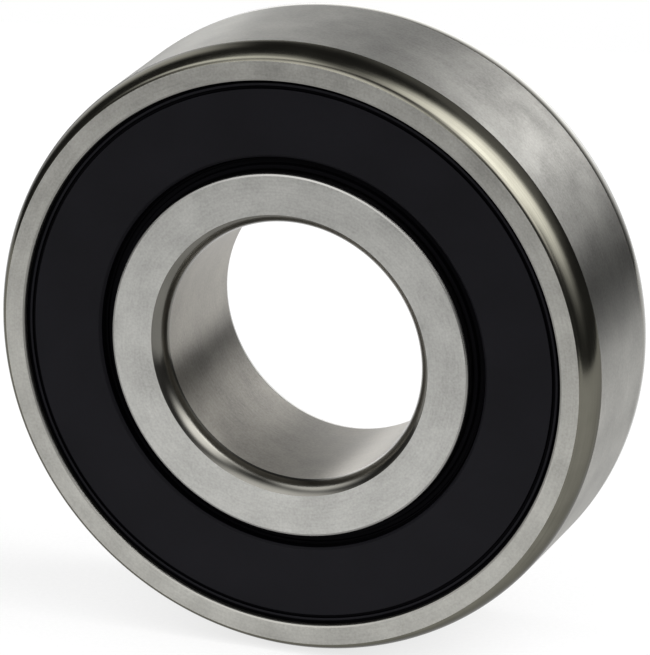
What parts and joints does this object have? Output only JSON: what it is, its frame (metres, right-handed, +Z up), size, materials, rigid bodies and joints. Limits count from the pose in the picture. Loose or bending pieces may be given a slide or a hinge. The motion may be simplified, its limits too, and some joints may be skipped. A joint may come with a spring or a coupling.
{
  "type": "sealed deep-groove ball bearing",
  "caption": "Deep-groove ball bearing with a rubber contact seal on each side: carries a turning shaft in a fixed housing.",
  "frame": {"origin": "centre of the bearing, on its axis, midway between the two faces", "axes": "the bearing axis is Y, with the front face towards -Y; it stands on its rim, +Z up"},
  "size_m": [0.047, 0.014, 0.047],
  "materials": {
    "ring_steel": "ground bearing steel with glossier turned corners",
    "ball_steel": "lapped, mirror bright",
    "cage_steel": "pressed strip, satin",
    "rivet_steel": "cold headed, satin",
    "insert_steel": "pressed sheet, dull",
    "seal_rubber": "moulded nitrile rubber, satin black"
  },
  "bodies": {
    "outer": {"outer_ring": "ring_steel", "seal_rubber_front": "seal_rubber", "seal_rubber_rear": "seal_rubber", "seal_insert_front": "insert_steel", "seal_insert_rear": "insert_steel"},
    "inner": {"inner_ring": "ring_steel"},
    "cage": {"cage_half_front": "cage_steel", "cage_half_rear": "cage_steel", "cage_rivet_1": "rivet_steel", "cage_rivet_2": "rivet_steel", "cage_rivet_3": "rivet_steel", "cage_rivet_4": "rivet_steel", "cage_rivet_5": "rivet_steel", "cage_rivet_6": "rivet_steel", "cage_rivet_7": "rivet_steel", "cage_rivet_8": "rivet_steel"},
    "ball_1": {"ball_1": "ball_steel"},
    "ball_2": {"ball_2": "ball_steel"},
    "ball_3": {"ball_3": "ball_steel"},
    "ball_4": {"ball_4": "ball_steel"},
    "ball_5": {"ball_5": "ball_steel"},
    "ball_6": {"ball_6": "ball_steel"},
    "ball_7": {"ball_7": "ball_steel"},
    "ball_8": {"ball_8": "ball_steel"}
  },
  "joints": [
    {"name": "inner_ring_spin", "type": "hinge", "parent": "outer", "child": "inner", "pos_m": [0, 0, 0], "axis": [0, -1, 0], "continuous": true},
    {"name": "cage_orbit", "type": "hinge", "parent": "outer", "child": "cage", "pos_m": [0, 0, 0], "axis": [0, -1, 0], "continuous": true},
    {"name": "ball_1_spin", "type": "hinge", "parent": "cage", "child": "ball_1", "pos_m": [0.01675, 0, 0], "axis": [0, -1, 0], "continuous": true},
    {"name": "ball_2_spin", "type": "hinge", "parent": "cage", "child": "ball_2", "pos_m": [0.01184, 0, 0.01184], "axis": [0, -1, 0], "continuous": true},
    {"name": "ball_3_spin", "type": "hinge", "parent": "cage", "child": "ball_3", "pos_m": [0, 0, 0.01675], "axis": [0, -1, 0], "continuous": true},
    {"name": "ball_4_spin", "type": "hinge", "parent": "cage", "child": "ball_4", "pos_m": [-0.01184, 0, 0.01184], "axis": [0, -1, 0], "continuous": true},
    {"name": "ball_5_spin", "type": "hinge", "parent": "cage", "child": "ball_5", "pos_m": [-0.01675, 0, 0], "axis": [0, -1, 0], "continuous": true},
    {"name": "ball_6_spin", "type": "hinge", "parent": "cage", "child": "ball_6", "pos_m": [-0.01184, 0, -0.01184], "axis": [0, -1, 0], "continuous": true},
    {"name": "ball_7_spin", "type": "hinge", "parent": "cage", "child": "ball_7", "pos_m": [0, 0, -0.01675], "axis": [0, -1, 0], "continuous": true},
    {"name": "ball_8_spin", "type": "hinge", "parent": "cage", "child": "ball_8", "pos_m": [0.01184, 0, -0.01184], "axis": [0, -1, 0], "continuous": true}
  ],
  "couplings": [
    {"joint": "cage_orbit", "follows": "inner_ring_spin", "ratio": 0.38152},
    {"joint": "ball_1_spin", "follows": "inner_ring_spin", "ratio": -1.9916},
    {"joint": "ball_2_spin", "follows": "inner_ring_spin", "ratio": -1.9916},
    {"joint": "ball_3_spin", "follows": "inner_ring_spin", "ratio": -1.9916},
    {"joint": "ball_4_spin", "follows": "inner_ring_spin", "ratio": -1.9916},
    {"joint": "ball_5_spin", "follows": "inner_ring_spin", "ratio": -1.9916},
    {"joint": "ball_6_spin", "follows": "inner_ring_spin", "ratio": -1.9916},
    {"joint": "ball_7_spin", "follows": "inner_ring_spin", "ratio": -1.9916},
    {"joint": "ball_8_spin", "follows": "inner_ring_spin", "ratio": -1.9916}
  ]
}
